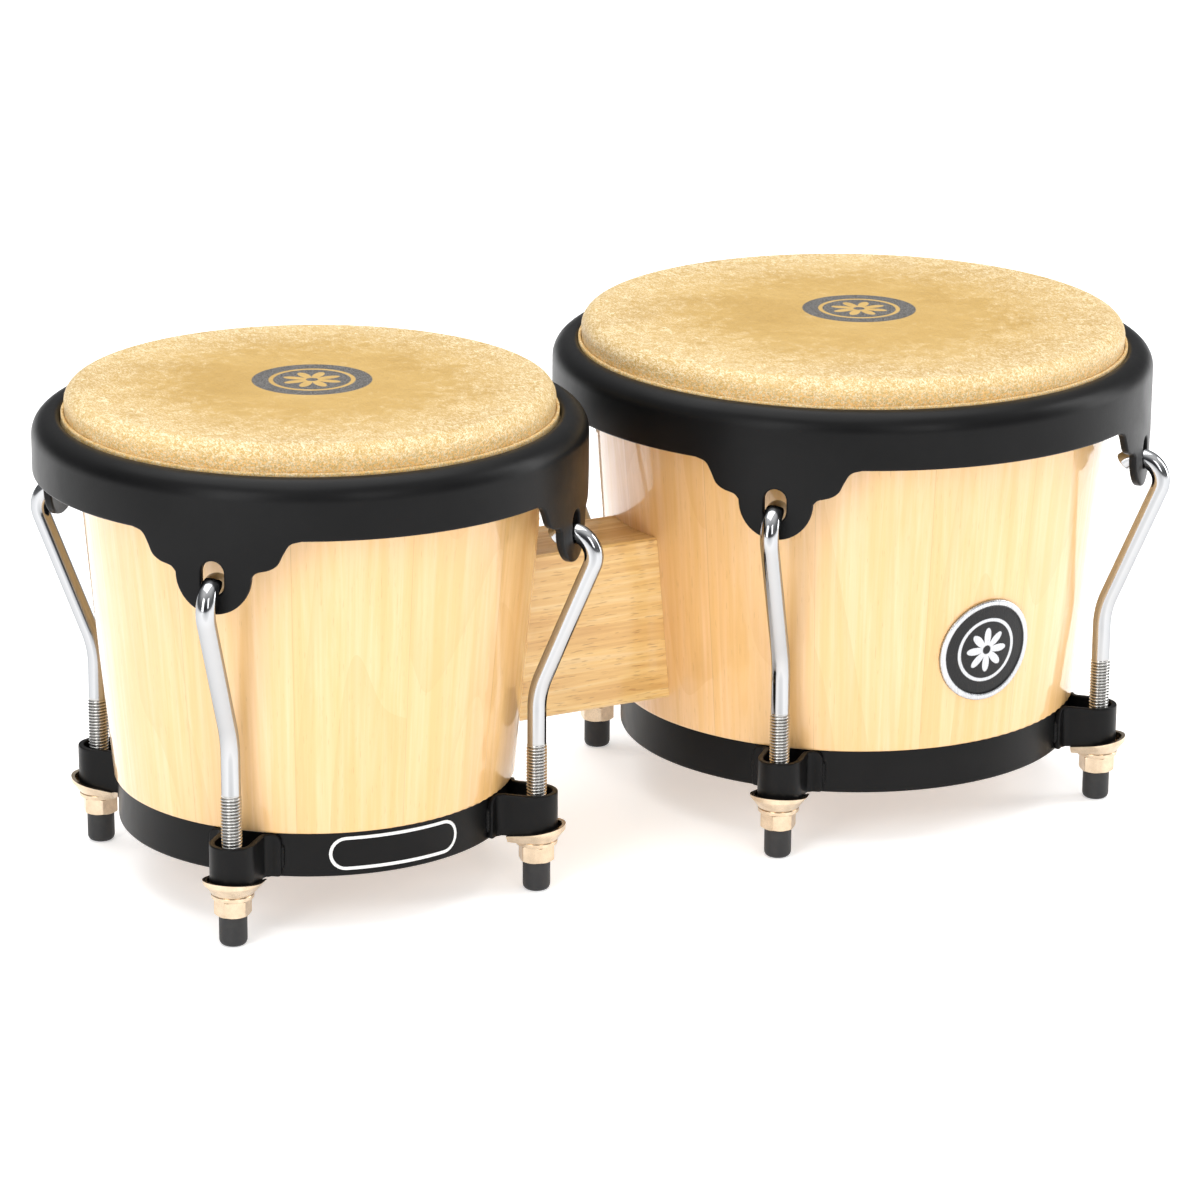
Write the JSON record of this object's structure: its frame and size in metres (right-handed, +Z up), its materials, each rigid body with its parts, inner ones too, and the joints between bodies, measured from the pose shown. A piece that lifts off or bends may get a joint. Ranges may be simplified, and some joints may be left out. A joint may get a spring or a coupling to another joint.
{
  "type": "bongo drums",
  "caption": "Joined small and large hand drums with rawhide heads, rolled rims, hooked tuning lugs and a wooden centre block, standing on rubber lug tips.",
  "frame": {"origin": "centre of the bounding box on the floor plane the rubber tips stand on", "axes": "+X from the small drum towards the large drum, +Z up, -Y the side that carries the badge"},
  "size_m": [0.4056, 0.21, 0.1692],
  "materials": {
    "shell_wood": "pale plantation hardwood with vertical grain under clear gloss lacquer",
    "block_wood": "pale hardwood, grain running from drum to drum, clear satin lacquer",
    "rawhide": "translucent golden rawhide, whitened and scuffed towards the edge",
    "black_coat": "satin black powder coat on steel",
    "chrome_rod": "bright chrome plate on steel rod",
    "plated_nut": "warm champagne nickel plate, satin",
    "black_rubber": "matt moulded rubber",
    "hoop_steel": "plain drawn steel wire, hidden in the tuck",
    "zinc_steel": "bright zinc plated fasteners",
    "badge_metal": null
  },
  "bodies": {
    "drums": {"macho_shell": "shell_wood", "macho_head": "rawhide", "macho_collar": "rawhide", "macho_band": "black_coat", "macho_washer_1": "plated_nut", "macho_cup_1": "plated_nut", "macho_washer_2": "plated_nut", "macho_cup_2": "plated_nut", "macho_washer_3": "plated_nut", "macho_cup_3": "plated_nut", "macho_washer_4": "plated_nut", "macho_cup_4": "plated_nut", "hembra_shell": "shell_wood", "hembra_head": "rawhide", "hembra_collar": "rawhide", "hembra_band": "black_coat", "hembra_washer_1": "plated_nut", "hembra_cup_1": "plated_nut", "hembra_washer_2": "plated_nut", "hembra_cup_2": "plated_nut", "hembra_washer_3": "plated_nut", "hembra_cup_3": "plated_nut", "hembra_washer_4": "plated_nut", "hembra_cup_4": "plated_nut", "centre_block": "block_wood", "block_bolt_1": "zinc_steel", "block_bolt_2": "zinc_steel", "block_nut_1": "zinc_steel", "block_nut_2": "zinc_steel", "hembra_badge": "badge_metal"},
    "macho_tuning": {"macho_rim": "black_coat", "macho_flesh_hoop": "hoop_steel", "macho_lug_1": "chrome_rod", "macho_tip_1": "black_rubber", "macho_lug_2": "chrome_rod", "macho_tip_2": "black_rubber", "macho_lug_3": "chrome_rod", "macho_tip_3": "black_rubber", "macho_lug_4": "chrome_rod", "macho_tip_4": "black_rubber"},
    "hembra_tuning": {"hembra_rim": "black_coat", "hembra_flesh_hoop": "hoop_steel", "hembra_lug_1": "chrome_rod", "hembra_tip_1": "black_rubber", "hembra_lug_2": "chrome_rod", "hembra_tip_2": "black_rubber", "hembra_lug_3": "chrome_rod", "hembra_tip_3": "black_rubber", "hembra_lug_4": "chrome_rod", "hembra_tip_4": "black_rubber"},
    "macho_nut_1_turn": {"macho_nut_1": "plated_nut"},
    "macho_nut_2_turn": {"macho_nut_2": "plated_nut"},
    "macho_nut_3_turn": {"macho_nut_3": "plated_nut"},
    "macho_nut_4_turn": {"macho_nut_4": "plated_nut"},
    "hembra_nut_1_turn": {"hembra_nut_1": "plated_nut"},
    "hembra_nut_2_turn": {"hembra_nut_2": "plated_nut"},
    "hembra_nut_3_turn": {"hembra_nut_3": "plated_nut"},
    "hembra_nut_4_turn": {"hembra_nut_4": "plated_nut"}
  },
  "joints": [
    {"name": "macho_tension", "type": "slide", "parent": "drums", "child": "macho_tuning", "axis": [0, 0, -1], "range_m": [0, 0.005], "deforming": ["macho_collar"]},
    {"name": "macho_nut_1_spin", "type": "hinge", "parent": "drums", "child": "macho_nut_1_turn", "pos_m": [-0.05534, 0.05551, 0.01333], "axis": [0, 0, 1], "range_deg": [0, 1652]},
    {"name": "macho_nut_2_spin", "type": "hinge", "parent": "drums", "child": "macho_nut_2_turn", "pos_m": [-0.16636, 0.05551, 0.01333], "axis": [0, 0, 1], "range_deg": [0, 1652]},
    {"name": "macho_nut_3_spin", "type": "hinge", "parent": "drums", "child": "macho_nut_3_turn", "pos_m": [-0.16636, -0.05551, 0.01333], "axis": [0, 0, 1], "range_deg": [0, 1652]},
    {"name": "macho_nut_4_spin", "type": "hinge", "parent": "drums", "child": "macho_nut_4_turn", "pos_m": [-0.05534, -0.05551, 0.01333], "axis": [0, 0, 1], "range_deg": [0, 1652]},
    {"name": "hembra_tension", "type": "slide", "parent": "drums", "child": "hembra_tuning", "axis": [0, 0, -1], "range_m": [0, 0.005], "deforming": ["hembra_collar"]},
    {"name": "hembra_nut_1_spin", "type": "hinge", "parent": "drums", "child": "hembra_nut_1_turn", "pos_m": [0.16304, 0.0652, 0.01333], "axis": [0, 0, 1], "range_deg": [0, 1652]},
    {"name": "hembra_nut_2_spin", "type": "hinge", "parent": "drums", "child": "hembra_nut_2_turn", "pos_m": [0.03266, 0.0652, 0.01333], "axis": [0, 0, 1], "range_deg": [0, 1652]},
    {"name": "hembra_nut_3_spin", "type": "hinge", "parent": "drums", "child": "hembra_nut_3_turn", "pos_m": [0.03266, -0.0652, 0.01333], "axis": [0, 0, 1], "range_deg": [0, 1652]},
    {"name": "hembra_nut_4_spin", "type": "hinge", "parent": "drums", "child": "hembra_nut_4_turn", "pos_m": [0.16304, -0.0652, 0.01333], "axis": [0, 0, 1], "range_deg": [0, 1652]}
  ],
  "couplings": [
    {"joint": "macho_nut_1_spin", "follows": "macho_tension", "rad_per_m": 5764.4},
    {"joint": "macho_nut_2_spin", "follows": "macho_tension", "rad_per_m": 5764.4},
    {"joint": "macho_nut_3_spin", "follows": "macho_tension", "rad_per_m": 5764.4},
    {"joint": "macho_nut_4_spin", "follows": "macho_tension", "rad_per_m": 5764.4},
    {"joint": "hembra_nut_1_spin", "follows": "hembra_tension", "rad_per_m": 5764.4},
    {"joint": "hembra_nut_2_spin", "follows": "hembra_tension", "rad_per_m": 5764.4},
    {"joint": "hembra_nut_3_spin", "follows": "hembra_tension", "rad_per_m": 5764.4},
    {"joint": "hembra_nut_4_spin", "follows": "hembra_tension", "rad_per_m": 5764.4}
  ]
}
